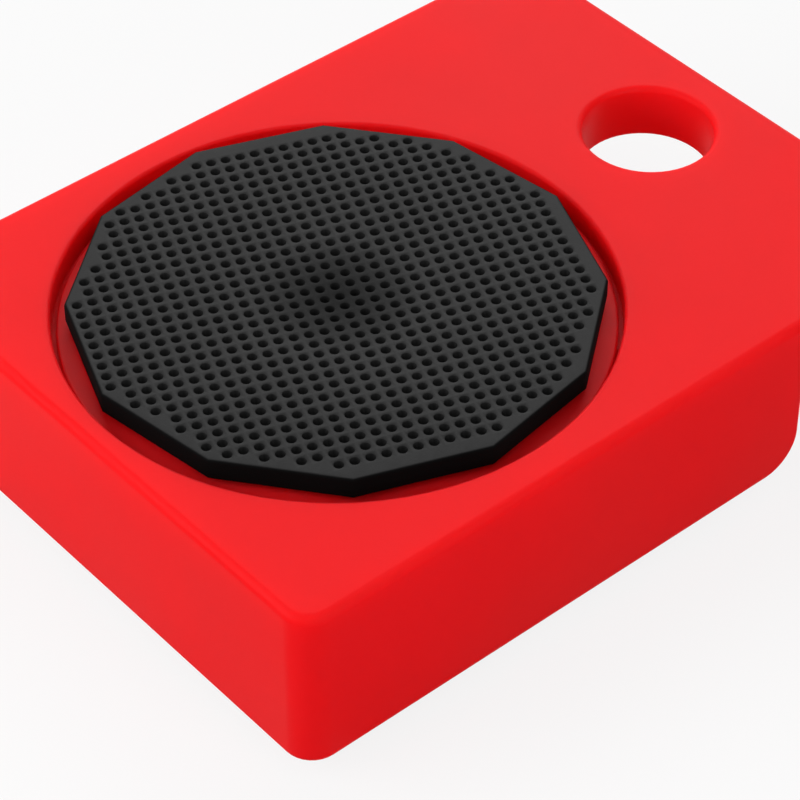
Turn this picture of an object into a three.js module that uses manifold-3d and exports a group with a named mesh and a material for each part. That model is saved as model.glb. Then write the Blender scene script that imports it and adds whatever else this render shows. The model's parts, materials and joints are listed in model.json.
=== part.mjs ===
// Roller block for moving furniture: a moulded housing on four wheels, with a disc on top that turns
// freely and carries a twelve-sided anti-slip pad. A cored tab with a finger hole sticks out at one end.
// Millimetres. +X runs from the heel to the tab's tip, +Y is the left side, +Z is up.
// The origin is on the floor, below the middle of the block.
import * as THREE from 'three';
import { mergeVertices } from 'three/addons/utils/BufferGeometryUtils.js';
import Module from 'manifold-3d';

const wasm = await Module();
wasm.setup();

// Pad and turntable
const PAD_RADIUS = 31.7;
const PAD_SIDES = 12;
const PAD_THICKNESS = 2.85;
const PAD_EDGE = 0.3;
const PAD_TURN = THREE.MathUtils.degToRad(-6.6);
const PAD_RIM = 3.6;
const PAD_DISH_DEPTH = 0.9;
const PAD_DISH_POWER = 1.35;
const PAD_OVERHANG = 3;
const DIMPLE_PITCH = 1.85;
const DIMPLE_RADIUS = 0.59;
const DIMPLE_DEPTH = 1;
const DIMPLE_MARGIN = 1.2;
const DIMPLE_SHIFT = 0.32;
const ADHESIVE_THICKNESS = 0.2;
const ADHESIVE_INSET = 0.5;
const PLATEAU_HEIGHT = 0.5;
const FLANGE_THICKNESS = 1.9;
const FLANGE_SINK = 2.2;
const FLANGE_GAP = 0.6;
const LIP_WIDTH = 1.9;
const LIP_THICKNESS = 0.7;
const LIP_GAP = 0.3;
const DISC_EDGE = 0.4;
const TRACK_HEIGHT = 0.4;
const TRACK_WIDTH = 5;
const TRACK_INSET = 2.5;
const TRACK_GAP = 0.3;
const HUB_RADIUS = 6;
const HUB_GAP = 0.3;
const HUB_END_GAP = 0.4;
const HUB_ROOF = 1.6;

// Pivot screw and washer
const PIVOT_SHANK_RADIUS = 2;
const PIVOT_HEAD_RADIUS = 4;
const PIVOT_HEAD_HEIGHT = 2.6;
const PIVOT_TIP_GAP = 0.5;
const WASHER_LAP = 2.6;
const WASHER_THICKNESS = 1.5;

// Housing
const WALL = 2.6;
const DECK_THICKNESS = 3.2;
const CORNER_RADIUS = 3.7;
const EDGE_RADIUS = 1.2;
const NOSE_RADIUS = 5;
const RECESS_MARGIN = 1.8;
const RECESS_RIM = 0.5;
const SIDE_MARGIN = 4.85;
const HEEL_MARGIN = 3;
const NOSE_MARGIN = 6;

// Tab
const TAB_THICKNESS = 7.5;
const TAB_ROOT_RADIUS = 2;
const HOLE_RADIUS = 8.2;
const HOLE_TOP_RIM = 0.8;
const HOLE_BOTTOM_RIM = 0.6;
const HOLE_ROOT_MARGIN = 2.4;
const HOLE_TIP_MARGIN = 5.2;
const HOLE_WALL = 2.4;
const CORE_BAYS = 3;
const CORE_RIB = 1.8;
const CORE_WEB = 8.6;

// Wheels and axle pins
const WHEEL_RADIUS = 8;
const WHEEL_WIDTH = 11.6;
const WHEEL_EDGE = 1.2;
const WHEEL_RIM = 1.8;
const WHEEL_DISH = 1.6;
const WHEEL_HUB_WALL = 1.8;
const WHEEL_HUB_PROUD = 0.7;
const WHEEL_SIDE_GAP = 0.4;
const WHEEL_TOP_GAP = 1.6;
const WHEEL_BORE_GAP = 0.3;
const PIN_RADIUS = 2;
const PIN_CHAMFER = 0.4;
const PIN_GRIP = 2.5;
const PIN_END_GAP = 0.3;
const PIN_SEAT_GAP = 0.2;
const PIN_KEEP_GAP = 0.3;
const RIB_THICKNESS = 3.6;
const RIB_SIDE_GAP = 2.25;

// Base cover and its screws
const COVER_THICKNESS = 2.4;
const COVER_INSET = 0.3;
const COVER_GAP = 0.4;
const COVER_CORNER = 1.5;
const COVER_SEAT_GAP = 0.3;
const WINDOW_GAP = 0.85;
const WINDOW_EDGE = 3;
const WINDOW_CORNER = 1.2;
const DRIVER_HOLE_RADIUS = 6;
const SCREW_RADIUS = 1.4;
const SCREW_GAP = 0.3;
const SCREW_LENGTH = 9;
const SCREW_HEAD_RADIUS = 2.8;
const SCREW_HEAD_HEIGHT = 1.2;
const SCREW_HEAD_INSET = 0.2;
const SCREW_EDGE = 4.5;
const SCREW_TIP_GAP = 1;
const BOSS_WALL = 1.7;

// Facets
const CORNER_STEPS = 8;
const FILLET_STEPS = 4;
const RECESS_SIDES = 80;
const HOLE_SIDES = 56;
const HUB_BORE_SIDES = 60;
const DISC_SIDES = 40;
const DISH_SIDES = 24;
const DISH_STEPS = 3;
const DIMPLE_SIDES = 4;
const DIMPLE_STRIDE = 2;
const WHEEL_SIDES = 18;
const WHEEL_EDGE_STEPS = 2;
const WINDOW_STEPS = 2;
const SMALL_SIDES = 20;
const FASTENER_SIDES = 16;
const CUT_OVERRUN = 2;

// Heights, stacked up from the floor
const axleZ = WHEEL_RADIUS;
const coverTop = axleZ - PIN_RADIUS - PIN_KEEP_GAP;
const coverBottom = coverTop - COVER_THICKNESS;
const rimZ = coverBottom - COVER_INSET;
const ribBottom = coverTop + COVER_SEAT_GAP;
const deckBottom = axleZ + WHEEL_RADIUS + WHEEL_TOP_GAP;
const recessFloor = deckBottom + DECK_THICKNESS;
const trackBottom = recessFloor + TRACK_GAP;
const flangeBottom = trackBottom + TRACK_HEIGHT;
const flangeTop = flangeBottom + FLANGE_THICKNESS;
const lipBottom = flangeTop - LIP_THICKNESS;
const ledgeTop = lipBottom - LIP_GAP;
const plateauTop = flangeTop + PLATEAU_HEIGHT;
const padBottom = plateauTop + ADHESIVE_THICKNESS;
const padTop = padBottom + PAD_THICKNESS;
const topZ = flangeTop + FLANGE_SINK;
const roofZ = topZ - WALL;
const tabBottom = topZ - TAB_THICKNESS;
const hubBottom = deckBottom - HUB_END_GAP;
const washerBottom = hubBottom - WASHER_THICKNESS;

// Lengths and widths
const recessRadius = PAD_RADIUS + RECESS_MARGIN;
const flangeRadius = recessRadius - FLANGE_GAP;
const lipRoot = flangeRadius - LIP_WIDTH;
const padApothem = PAD_RADIUS * Math.cos(Math.PI / PAD_SIDES);
const dishRadius = padApothem - PAD_RIM;
const halfWidth = recessRadius + SIDE_MARGIN;
const innerHalfWidth = halfWidth - WALL;
const bodyLength = HEEL_MARGIN + 2 * recessRadius + NOSE_MARGIN;
const tabReach = HOLE_ROOT_MARGIN + 2 * HOLE_RADIUS + HOLE_TIP_MARGIN;
const tipX = (bodyLength + tabReach) / 2;
const heelX = -tipX;
const noseX = heelX + bodyLength;
const turnX = heelX + HEEL_MARGIN + recessRadius;
const holeX = noseX + HOLE_ROOT_MARGIN + HOLE_RADIUS;
const innerHeelX = heelX + WALL;
const innerNoseX = noseX - WALL;
const noseArcX = noseX - NOSE_RADIUS;
const noseArcZ = rimZ + NOSE_RADIUS;
const lipX = noseArcX - WALL;

// Cover outline, wheel places and screw places
const coverHeelX = innerHeelX + COVER_GAP;
const coverNoseX = lipX - COVER_GAP;
const coverHalfWidth = innerHalfWidth - COVER_GAP;
const windowChord = Math.sqrt(WHEEL_RADIUS ** 2 - (axleZ - coverTop) ** 2);
const windowHalfX = windowChord + WINDOW_GAP;
const windowHalfY = WHEEL_WIDTH / 2 + WINDOW_GAP;
const wheelHubHalf = WHEEL_WIDTH / 2 + WHEEL_HUB_PROUD;
const outerRibFace = innerHalfWidth - RIB_SIDE_GAP - RIB_THICKNESS;
const wheelY = outerRibFace - WHEEL_SIDE_GAP - wheelHubHalf;
const innerRibFace = wheelY - wheelHubHalf - WHEEL_SIDE_GAP;
const noseWheelX = coverNoseX - WINDOW_EDGE - windowHalfX;
const heelWheelX = 2 * turnX - noseWheelX;
const pinHalf = wheelHubHalf + WHEEL_SIDE_GAP + PIN_GRIP;
const screwHeadTop = coverBottom + SCREW_HEAD_INSET + SCREW_HEAD_HEIGHT;
const screwTip = screwHeadTop + SCREW_LENGTH;
const WHEELS = [
  { name: 'heel_left', x: heelWheelX, y: wheelY },
  { name: 'heel_right', x: heelWheelX, y: -wheelY },
  { name: 'nose_left', x: noseWheelX, y: wheelY },
  { name: 'nose_right', x: noseWheelX, y: -wheelY },
];
const SCREWS = [
  { name: 'heel', x: coverHeelX + SCREW_EDGE, y: 0 },
  { name: 'nose', x: coverNoseX - SCREW_EDGE, y: 0 },
  { name: 'left', x: turnX, y: coverHalfWidth - SCREW_EDGE },
  { name: 'right', x: turnX, y: SCREW_EDGE - coverHalfWidth },
];

// Materials
const redPlastic = () => new THREE.MeshStandardMaterial({ color: 0xe8282c, roughness: 0.4, metalness: 0 });
const blackRubber = () => new THREE.MeshStandardMaterial({ color: 0x3c3c3c, roughness: 0.85, metalness: 0 });
const clearGlue = () => new THREE.MeshStandardMaterial({ color: 0xd8d2c0, roughness: 0.6, metalness: 0 });
const wheelNylon = () => new THREE.MeshStandardMaterial({ color: 0x1f2022, roughness: 0.55, metalness: 0 });
const zincSteel = () => new THREE.MeshStandardMaterial({ color: 0xb9bcc0, roughness: 0.32, metalness: 1 });

// Closed surface to solid: welds the vertices, drops faces that the welding closed up, and turns the
// surface round if its volume comes out negative.
function solid(geometry) {
  const bare = geometry.clone();
  bare.deleteAttribute('normal');
  bare.deleteAttribute('uv');
  const welded = mergeVertices(bare, 1e-3);
  const points = new Float32Array(welded.attributes.position.array);
  const index = welded.index.array;
  const faces = [];
  let volume = 0;
  const corner = [new THREE.Vector3(), new THREE.Vector3(), new THREE.Vector3()];
  for (let i = 0; i < index.length; i += 3) {
    const [a, b, c] = [index[i], index[i + 1], index[i + 2]];
    if (a === b || b === c || c === a) continue;
    faces.push(a, b, c);
    corner.forEach((v, k) => v.fromArray(points, 3 * index[i + k]));
    volume += corner[0].dot(corner[1].clone().cross(corner[2]));
  }
  if (volume < 0) faces.reverse();
  const mesh = new wasm.Mesh({ numProp: 3, vertProperties: points, triVerts: new Uint32Array(faces) });
  return new wasm.Manifold(mesh);
}

function named(name, body, material) {
  const { vertProperties, triVerts } = body.getMesh();
  const geometry = new THREE.BufferGeometry();
  geometry.setAttribute('position', new THREE.BufferAttribute(new Float32Array(vertProperties), 3));
  geometry.setIndex(new THREE.BufferAttribute(new Uint32Array(triVerts), 1));
  geometry.computeVertexNormals();
  const mesh = new THREE.Mesh(geometry, material);
  mesh.name = name;
  return mesh;
}

const at = (x, y) => new THREE.Vector2(x, y);

// Points of an arc about (x, y), both ends included.
function arc(x, y, radius, from, to, steps = FILLET_STEPS) {
  return Array.from({ length: steps + 1 }, (_, i) => {
    const angle = THREE.MathUtils.degToRad(from + ((to - from) * i) / steps);
    return at(x + radius * Math.cos(angle), y + radius * Math.sin(angle));
  });
}

function roundedRect(x0, x1, y0, y1, radius, steps = FILLET_STEPS) {
  return new THREE.Shape([
    ...arc(x0 + radius, y0 + radius, radius, 180, 270, steps),
    ...arc(x1 - radius, y0 + radius, radius, 270, 360, steps),
    ...arc(x1 - radius, y1 - radius, radius, 0, 90, steps),
    ...arc(x0 + radius, y1 - radius, radius, 90, 180, steps),
  ]);
}

// A plan outline standing from z0 to z1.
function prism(shape, z0, z1) {
  const geometry = new THREE.ExtrudeGeometry(shape, { depth: z1 - z0, bevelEnabled: false });
  return solid(geometry.translate(0, 0, z0));
}

// A side outline, drawn in X and Z, carried across from y0 to y1.
function acrossY(points, y0, y1) {
  const shape = new THREE.Shape(points);
  const geometry = new THREE.ExtrudeGeometry(shape, { depth: y1 - y0, bevelEnabled: false });
  return solid(geometry.rotateX(Math.PI / 2).translate(0, y1, 0));
}

// A profile of radius and height, turned about a vertical axis through (x, y).
function turned(points, sides, x = 0, y = 0, phase = 0) {
  const geometry = new THREE.LatheGeometry(points, sides, phase);
  return solid(geometry.rotateX(Math.PI / 2).translate(x, y, 0));
}

function post(x, y, radius, z0, z1, sides = SMALL_SIDES) {
  return turned([at(0, z0), at(radius, z0), at(radius, z1), at(0, z1)], sides, x, y);
}

const block = (x0, x1, y0, y1, z0, z1) =>
  prism(new THREE.Shape([at(x0, y0), at(x1, y0), at(x1, y1), at(x0, y1)]), z0, z1);

const union = (solids) => solids.reduce((sum, next) => sum.add(next));

// Housing

// Outer block with a rounded upper edge. The side cut takes off its lower edge, rounds the nose
// and leaves the tab.
function housingBlock() {
  const outline = roundedRect(heelX, tipX, -halfWidth, halfWidth, CORNER_RADIUS, CORNER_STEPS);
  const geometry = new THREE.ExtrudeGeometry(outline, {
    depth: topZ - rimZ,
    bevelThickness: EDGE_RADIUS,
    bevelSize: EDGE_RADIUS,
    bevelOffset: -EDGE_RADIUS,
    bevelSegments: FILLET_STEPS,
  });
  const body = solid(geometry.translate(0, 0, rimZ - EDGE_RADIUS));
  const below = rimZ - EDGE_RADIUS - CUT_OVERRUN;
  const sideCut = acrossY([
    at(heelX - CUT_OVERRUN, below),
    at(tipX + CUT_OVERRUN, below),
    at(tipX + CUT_OVERRUN, tabBottom),
    ...arc(noseX + TAB_ROOT_RADIUS, tabBottom - TAB_ROOT_RADIUS, TAB_ROOT_RADIUS, 90, 180),
    ...arc(noseArcX, noseArcZ, NOSE_RADIUS, 0, -90, CORNER_STEPS),
    at(heelX - CUT_OVERRUN, rimZ),
  ], -halfWidth - CUT_OVERRUN, halfWidth + CUT_OVERRUN);
  return body.subtract(sideCut);
}

// Inside of the shell: one wall in from the outside, with the cup of the turntable hanging into it.
function housingCavity() {
  const inside = acrossY([
    at(innerHeelX, rimZ - CUT_OVERRUN),
    at(lipX, rimZ - CUT_OVERRUN),
    at(lipX, noseArcZ - NOSE_RADIUS + WALL),
    ...arc(noseArcX, noseArcZ, NOSE_RADIUS - WALL, -90, 0),
    at(innerNoseX, roofZ),
    at(innerHeelX, roofZ),
  ], -innerHalfWidth, innerHalfWidth);
  const cup = post(turnX, 0, recessRadius + WALL, deckBottom, topZ, RECESS_SIDES);
  return inside.subtract(cup);
}

// Four ribs along the block, two beside each row of wheels. They carry the axle pins and the deck.
function wheelRibs() {
  const inner = [innerRibFace - RIB_THICKNESS, innerRibFace];
  const outer = [outerRibFace, outerRibFace + RIB_THICKNESS];
  const x0 = innerHeelX - WALL / 2;
  const x1 = innerNoseX + WALL / 2;
  return union([inner, outer].flatMap(([y0, y1]) => [
    block(x0, x1, y0, y1, ribBottom, roofZ + WALL / 2),
    block(x0, x1, -y1, -y0, ribBottom, roofZ + WALL / 2),
  ]));
}

function screwBosses() {
  const radius = SCREW_RADIUS + SCREW_GAP + BOSS_WALL;
  return union(SCREWS.map(({ x, y }) => post(x, y, radius, ribBottom, deckBottom + DECK_THICKNESS / 2)));
}

const screwBores = () => union(SCREWS.map(({ x, y }) =>
  post(x, y, SCREW_RADIUS + SCREW_GAP, rimZ, screwTip + SCREW_TIP_GAP)));

// Round recess with a softened rim, a ledge under the disc's lip, and the bore for the hub in its floor.
function turntableRecess() {
  const recess = turned([
    at(0, recessFloor),
    at(lipRoot + FLANGE_GAP, recessFloor),
    at(lipRoot + FLANGE_GAP, ledgeTop),
    at(recessRadius, ledgeTop),
    ...arc(recessRadius + RECESS_RIM, topZ - RECESS_RIM, RECESS_RIM, 180, 90),
    at(recessRadius + RECESS_RIM, topZ + CUT_OVERRUN),
    at(0, topZ + CUT_OVERRUN),
  ], RECESS_SIDES, turnX, 0);
  const boreBottom = deckBottom - CUT_OVERRUN;
  const bore = post(turnX, 0, HUB_RADIUS + HUB_GAP, boreBottom, recessFloor + CUT_OVERRUN, HUB_BORE_SIDES);
  return recess.add(bore);
}

// Seats for the axle pins: slots with a round top, open downwards, that stop short of the ribs' far faces.
function pinSeats() {
  const radius = PIN_RADIUS + PIN_SEAT_GAP;
  const half = pinHalf + PIN_END_GAP;
  return union(WHEELS.map(({ x, y }) => acrossY([
    at(x - radius, ribBottom - CUT_OVERRUN),
    at(x + radius, ribBottom - CUT_OVERRUN),
    ...arc(x, axleZ, radius, 0, 180, CORNER_STEPS),
  ], y - half, y + half)));
}

// Core pockets under the tab, between ribs that run along the pull, kept clear of the wall of the hole.
function tabCores() {
  const bay = (innerHalfWidth - CORE_WEB / 2 - (CORE_BAYS - 1) * CORE_RIB) / CORE_BAYS;
  const pockets = [];
  for (let i = 0; i < CORE_BAYS; i += 1) {
    const y0 = CORE_WEB / 2 + i * (bay + CORE_RIB);
    const x0 = noseX + TAB_ROOT_RADIUS;
    const x1 = tipX - WALL;
    pockets.push(block(x0, x1, y0, y0 + bay, tabBottom - CUT_OVERRUN, roofZ));
    pockets.push(block(x0, x1, -y0 - bay, -y0, tabBottom - CUT_OVERRUN, roofZ));
  }
  const boss = post(holeX, 0, HOLE_RADIUS + HOLE_WALL, tabBottom - 2 * CUT_OVERRUN, topZ, HOLE_SIDES);
  return union(pockets).subtract(boss);
}

// Finger hole through the tab, with both rims rounded.
function fingerHole() {
  return turned([
    at(0, tabBottom - CUT_OVERRUN),
    at(HOLE_RADIUS + HOLE_BOTTOM_RIM, tabBottom - CUT_OVERRUN),
    ...arc(HOLE_RADIUS + HOLE_BOTTOM_RIM, tabBottom + HOLE_BOTTOM_RIM, HOLE_BOTTOM_RIM, 270, 180),
    ...arc(HOLE_RADIUS + HOLE_TOP_RIM, topZ - HOLE_TOP_RIM, HOLE_TOP_RIM, 180, 90),
    at(HOLE_RADIUS + HOLE_TOP_RIM, topZ + CUT_OVERRUN),
    at(0, topZ + CUT_OVERRUN),
  ], HOLE_SIDES, holeX, 0);
}

function housing() {
  const shell = housingBlock().subtract(housingCavity());
  const inside = union([wheelRibs(), screwBosses()]);
  const cuts = union([turntableRecess(), pinSeats(), screwBores(), tabCores(), fingerHole()]);
  return named('housing', shell.add(inside).subtract(cuts), redPlastic());
}

// Base cover

// Plate with a window for each wheel, sunk screw holes, and a hole for a driver under the pivot screw.
function baseCover() {
  const border = roundedRect(coverHeelX, coverNoseX, -coverHalfWidth, coverHalfWidth, COVER_CORNER);
  const plate = prism(border, coverBottom, coverTop);
  const windows = WHEELS.map(({ x, y }) => {
    const [x0, x1] = [x - windowHalfX, x + windowHalfX];
    const [y0, y1] = [y - windowHalfY, y + windowHalfY];
    const outline = roundedRect(x0, x1, y0, y1, WINDOW_CORNER, WINDOW_STEPS);
    return prism(outline, coverBottom - CUT_OVERRUN, coverTop + CUT_OVERRUN);
  });
  const holes = SCREWS.flatMap(({ x, y }) => [
    post(x, y, SCREW_RADIUS + SCREW_GAP, coverBottom - CUT_OVERRUN, coverTop + CUT_OVERRUN),
    post(x, y, SCREW_HEAD_RADIUS + SCREW_GAP, coverBottom - CUT_OVERRUN, screwHeadTop + SCREW_GAP),
  ]);
  const driverHole = post(turnX, 0, DRIVER_HOLE_RADIUS, coverBottom - CUT_OVERRUN, coverTop + CUT_OVERRUN);
  return named('base_cover', plate.subtract(union([...windows, ...holes, driverHole])), redPlastic());
}

function coverScrew({ name, x, y }) {
  const headBottom = screwHeadTop - SCREW_HEAD_HEIGHT;
  const body = turned([
    at(0, headBottom),
    at(SCREW_HEAD_RADIUS, headBottom),
    at(SCREW_HEAD_RADIUS, screwHeadTop),
    at(SCREW_RADIUS, screwHeadTop),
    at(SCREW_RADIUS, screwTip - SCREW_RADIUS),
    at(0, screwTip),
  ], FASTENER_SIDES, x, y);
  return named(`cover_screw_${name}`, body, zincSteel());
}

// Turntable

// Flanged disc: a plateau under the pad, a sunk flange around it that ends in a lip over the ledge,
// a sliding track below and a hub that goes down through the deck.
function turntableDisc() {
  const plateauRadius = padApothem - PAD_OVERHANG;
  const trackOuter = flangeRadius - TRACK_INSET;
  const boreRadius = PIVOT_SHANK_RADIUS + SCREW_GAP;
  const boreTop = plateauTop - HUB_ROOF;
  const body = turned([
    at(0, plateauTop),
    at(plateauRadius - DISC_EDGE, plateauTop),
    at(plateauRadius, plateauTop - DISC_EDGE),
    at(plateauRadius, flangeTop),
    at(flangeRadius - DISC_EDGE, flangeTop),
    at(flangeRadius, flangeTop - DISC_EDGE),
    at(flangeRadius, lipBottom),
    at(lipRoot, lipBottom),
    at(lipRoot, flangeBottom),
    at(trackOuter, flangeBottom),
    at(trackOuter, trackBottom),
    at(trackOuter - TRACK_WIDTH, trackBottom),
    at(trackOuter - TRACK_WIDTH, flangeBottom),
    at(HUB_RADIUS, flangeBottom),
    at(HUB_RADIUS, hubBottom),
    at(boreRadius, hubBottom),
    at(boreRadius, boreTop),
    at(0, boreTop),
  ], DISC_SIDES, turnX, 0);
  return named('turntable_disc', body, redPlastic());
}

// The pad and its bond are prisms on the same polygon, turned as the disc stands.
function padPolygon(inset) {
  const radius = PAD_RADIUS - inset / Math.cos(Math.PI / PAD_SIDES);
  return Array.from({ length: PAD_SIDES }, (_, i) => {
    const angle = PAD_TURN + (2 * Math.PI * i) / PAD_SIDES;
    return at(turnX + radius * Math.cos(angle), radius * Math.sin(angle));
  });
}

function padAdhesive() {
  const body = prism(new THREE.Shape(padPolygon(PAD_OVERHANG + ADHESIVE_INSET)), plateauTop, padBottom);
  return named('pad_adhesive', body, clearGlue());
}

// Height of the pad's top at a distance from the pivot: a shallow dish inside a flat rim, level at the rim
// and steeper towards the middle.
function padSurface(distance) {
  const inward = Math.max(0, 1 - distance / dishRadius);
  return padTop - PAD_DISH_DEPTH * inward ** PAD_DISH_POWER;
}

function padDish() {
  const slope = Array.from({ length: DISH_STEPS + 1 }, (_, i) => {
    const distance = (dishRadius * i) / DISH_STEPS;
    return at(distance, padSurface(distance));
  });
  const lid = [at(dishRadius, padTop + CUT_OVERRUN), at(0, padTop + CUT_OVERRUN)];
  return turned([...slope, ...lid], DISH_SIDES, turnX, 0);
}

// Centres of the dimples about the pivot: rows square to one side of the pad, clear of its edge.
// The stride leaves out dimples between those that are modelled.
function dimpleCentres() {
  const halfSide = Math.PI / PAD_SIDES;
  const reach = padApothem - DIMPLE_MARGIN;
  const flats = Array.from({ length: PAD_SIDES }, (_, i) => PAD_TURN + (2 * i - 1) * halfSide);
  const pitch = DIMPLE_STRIDE * DIMPLE_PITCH;
  const rows = Math.ceil(reach / pitch);
  const centres = [];
  for (let i = -rows; i <= rows; i += 1) {
    for (let j = -rows; j <= rows; j += 1) {
      const centre = at(i * pitch + DIMPLE_SHIFT, j * pitch).rotateAround(at(0, 0), flats[0]);
      const outward = flats.map((flat) => centre.dot(at(Math.cos(flat), Math.sin(flat))));
      if (Math.max(...outward) < reach) centres.push(centre);
    }
  }
  return centres;
}

// Blind dimples, as deep below the dished top everywhere. A polygon stands for the circle of the same area.
function padDimples() {
  const step = (2 * Math.PI) / DIMPLE_SIDES;
  const mouth = DIMPLE_RADIUS * Math.sqrt(step / Math.sin(step));
  const corner = (centre, i) => at(mouth, 0).rotateAround(at(0, 0), PAD_TURN + i * step).add(centre);
  return union(dimpleCentres().map((centre) => {
    const outline = Array.from({ length: DIMPLE_SIDES }, (_, i) => corner(centre, i));
    const floor = padSurface(centre.length()) - DIMPLE_DEPTH;
    return prism(new THREE.Shape(outline), floor, padTop + CUT_OVERRUN).translate(turnX, 0, 0);
  }));
}

function antiSlipPad() {
  const geometry = new THREE.ExtrudeGeometry(new THREE.Shape(padPolygon(0)), {
    depth: PAD_THICKNESS - 2 * PAD_EDGE,
    bevelThickness: PAD_EDGE,
    bevelSize: PAD_EDGE,
    bevelOffset: -PAD_EDGE,
    bevelSegments: 1,
  });
  const body = solid(geometry.translate(0, 0, padBottom + PAD_EDGE));
  return named('anti_slip_pad', body.subtract(padDish()).subtract(padDimples()), blackRubber());
}

function pivotWasher() {
  const inner = PIVOT_SHANK_RADIUS + SCREW_GAP;
  const outer = HUB_RADIUS + HUB_GAP + WASHER_LAP;
  const body = turned([
    at(inner, washerBottom),
    at(outer, washerBottom),
    at(outer, hubBottom),
    at(inner, hubBottom),
    at(inner, washerBottom),
  ], SMALL_SIDES, turnX, 0);
  return named('pivot_washer', body, zincSteel());
}

function pivotScrew() {
  const headBottom = washerBottom - PIVOT_HEAD_HEIGHT;
  const headEdge = PIVOT_HEAD_HEIGHT / 2;
  const tip = plateauTop - HUB_ROOF - PIVOT_TIP_GAP;
  const body = turned([
    at(0, headBottom),
    ...arc(PIVOT_HEAD_RADIUS - headEdge, headBottom + headEdge, headEdge, 270, 360),
    at(PIVOT_HEAD_RADIUS, washerBottom),
    at(PIVOT_SHANK_RADIUS, washerBottom),
    at(PIVOT_SHANK_RADIUS, tip),
    at(0, tip),
  ], SMALL_SIDES, turnX, 0);
  return named('pivot_screw', body, zincSteel());
}

// Wheels

// The profile is drawn for the mid-faces of the facets, so that a wheel stands on a flat face at its
// full radius.
function wheel({ name, x, y }) {
  const half = WHEEL_WIDTH / 2;
  const outOf = 1 / Math.cos(Math.PI / WHEEL_SIDES);
  const tread = WHEEL_RADIUS * outOf;
  const hub = PIN_RADIUS + WHEEL_BORE_GAP + WHEEL_HUB_WALL;
  const bore = (PIN_RADIUS + WHEEL_BORE_GAP) * outOf;
  const rimInner = WHEEL_RADIUS - WHEEL_RIM;
  const side = [
    at(bore, wheelHubHalf),
    at(hub, wheelHubHalf),
    at(hub, half - WHEEL_DISH),
    at(rimInner, half - WHEEL_DISH),
    at(rimInner, half),
    ...arc(tread - WHEEL_EDGE, half - WHEEL_EDGE, WHEEL_EDGE, 90, 0, WHEEL_EDGE_STEPS),
  ];
  const other = side.map((p) => at(p.x, -p.y)).reverse();
  const geometry = new THREE.LatheGeometry([...side, ...other, side[0]], WHEEL_SIDES, Math.PI / WHEEL_SIDES);
  return named(`wheel_${name}`, solid(geometry.translate(x, y, axleZ)), wheelNylon());
}

function axlePin({ name, x, y }) {
  const end = [at(0, pinHalf), at(PIN_RADIUS - PIN_CHAMFER, pinHalf), at(PIN_RADIUS, pinHalf - PIN_CHAMFER)];
  const other = end.map((p) => at(p.x, -p.y)).reverse();
  const geometry = new THREE.LatheGeometry([...end, ...other], FASTENER_SIDES);
  return named(`axle_pin_${name}`, solid(geometry.translate(x, y, axleZ)), zincSteel());
}

// Assembly
const rollerBlock = new THREE.Group();
const turntable = new THREE.Group();
turntable.add(turntableDisc(), padAdhesive(), antiSlipPad(), pivotWasher(), pivotScrew());
rollerBlock.add(housing(), baseCover(), turntable);
rollerBlock.add(...SCREWS.map(coverScrew));
rollerBlock.add(...WHEELS.map(wheel), ...WHEELS.map(axlePin));

export default rollerBlock;
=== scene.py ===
# %% [markdown]
# # A roller block with a turning anti-slip pad
# A furniture foot stands on the dimpled rubber pad. The pad is bonded to a disc that turns freely in a
# red moulded housing, and the housing rolls on four wheels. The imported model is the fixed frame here:
# it gives every piece its place, in metres, and this lesson gives each piece its fine surface and finish.

# %% Load the frame
import json
import math

import bmesh
import bpy
import numpy as np
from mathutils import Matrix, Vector


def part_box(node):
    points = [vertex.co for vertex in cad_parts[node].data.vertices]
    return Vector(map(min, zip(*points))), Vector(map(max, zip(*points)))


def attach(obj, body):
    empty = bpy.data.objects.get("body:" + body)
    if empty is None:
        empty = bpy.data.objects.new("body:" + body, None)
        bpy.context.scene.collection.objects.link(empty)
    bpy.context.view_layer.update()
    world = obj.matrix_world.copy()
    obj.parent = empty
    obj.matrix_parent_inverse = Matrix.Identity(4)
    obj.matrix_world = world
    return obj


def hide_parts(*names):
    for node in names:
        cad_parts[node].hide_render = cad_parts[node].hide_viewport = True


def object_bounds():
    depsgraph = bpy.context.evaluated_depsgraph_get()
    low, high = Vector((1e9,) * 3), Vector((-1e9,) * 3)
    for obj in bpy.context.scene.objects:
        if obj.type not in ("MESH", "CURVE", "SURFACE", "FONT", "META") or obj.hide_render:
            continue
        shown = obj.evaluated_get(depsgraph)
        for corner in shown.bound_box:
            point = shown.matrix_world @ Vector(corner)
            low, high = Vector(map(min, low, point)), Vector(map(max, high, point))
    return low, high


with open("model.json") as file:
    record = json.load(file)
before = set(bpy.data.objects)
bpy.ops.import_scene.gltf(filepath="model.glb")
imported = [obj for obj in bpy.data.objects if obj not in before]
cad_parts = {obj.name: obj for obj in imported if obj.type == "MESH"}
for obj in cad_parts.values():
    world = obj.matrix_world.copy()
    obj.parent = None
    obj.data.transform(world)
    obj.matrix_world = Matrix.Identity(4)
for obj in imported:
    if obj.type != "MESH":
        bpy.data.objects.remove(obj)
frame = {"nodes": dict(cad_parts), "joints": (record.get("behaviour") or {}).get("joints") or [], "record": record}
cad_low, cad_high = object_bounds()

MM = 0.001
scene = bpy.context.scene
scene.view_settings.view_transform = "Standard"
print("CAD box in mm:", [round(side / MM, 2) for side in cad_high - cad_low])

# %% [markdown]
# ## Camera
# A viewpoint can be turned by hand until the picture looks right, but a long straight-edged block shows
# every error. Here it comes from the block itself: its edges, the recess rim and the hole were matched
# to a pinhole camera, which gave this place, this target and a long lens.

# %% Camera
CAMERA_PLACE = Vector((-193.05, -220.83, 271.57)) * MM
CAMERA_TARGET = Vector((-3.18, 0.83, 3.0)) * MM
CAMERA_LENS = 145.09
SENSOR_WIDTH = 36.0


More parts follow.
